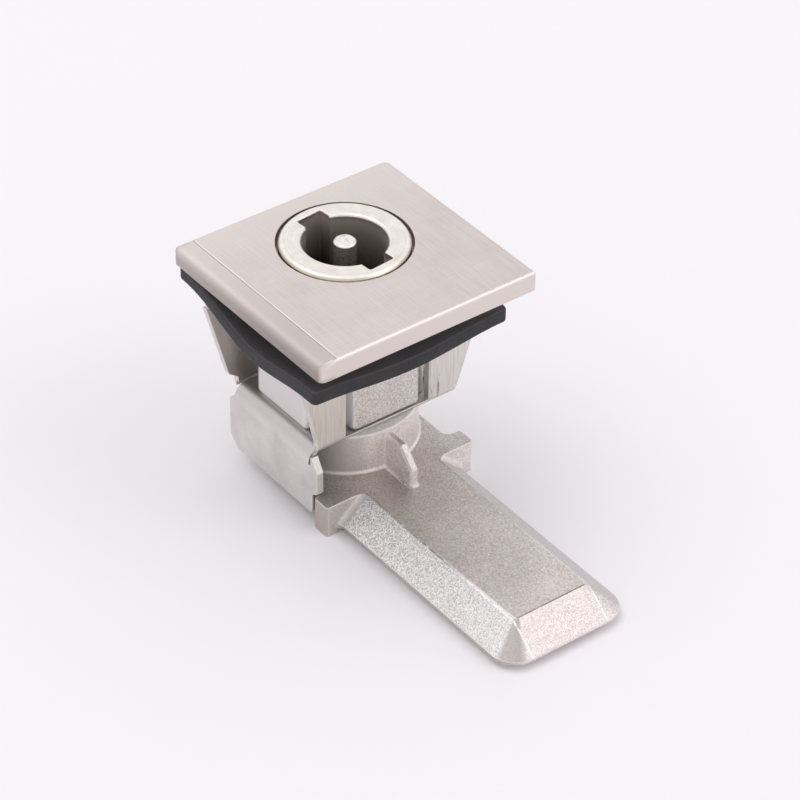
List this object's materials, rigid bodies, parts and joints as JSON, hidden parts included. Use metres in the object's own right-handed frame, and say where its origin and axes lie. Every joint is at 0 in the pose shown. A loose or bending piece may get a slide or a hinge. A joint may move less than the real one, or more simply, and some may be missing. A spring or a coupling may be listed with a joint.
{
  "type": "cam lock",
  "caption": "Clip-in cam lock: square bevelled head with a double-bit key socket, sheet spring clip, rubber gasket and a swinging cam with a long bevelled tongue.",
  "frame": {"origin": "on the lock axis, level with the underside of the head, where the head seats on the panel", "axes": "+X from the lock axis along the cam as it points at rest, +Z out of the head along the lock axis, so that -Y is the side of the wide bevel and of the stop wall"},
  "size_m": [0.0599, 0.0342, 0.0353],
  "materials": {
    "cast_steel_satin": "satin, brushed on the front, shot-blasted below",
    "black_rubber": "matt moulded sheet rubber",
    "sheet_steel": "satin rolled sheet",
    "turned_steel": "fine turned, satin",
    "pin_steel": "ground",
    "seal_rubber": "smooth nitrile rubber",
    "cast_steel_blasted": "investment cast and shot-blasted",
    "screw_steel": "plain",
    "washer_steel": "plain"
  },
  "bodies": {
    "lock_body": {"housing": "cast_steel_satin", "gasket": "black_rubber", "spring_clip": "sheet_steel"},
    "driver_and_cam": {"driver": "turned_steel", "driver_pin": "pin_steel", "driver_seal": "seal_rubber", "cam": "cast_steel_blasted", "cam_screw": "screw_steel", "cam_washer": "washer_steel", "cam_spring_washer": "washer_steel"}
  },
  "joints": [
    {"name": "cam_turn", "type": "hinge", "parent": "lock_body", "child": "driver_and_cam", "pos_m": [0, 0, 0], "axis": [0, 0, 1], "range_deg": [0, 180]}
  ]
}
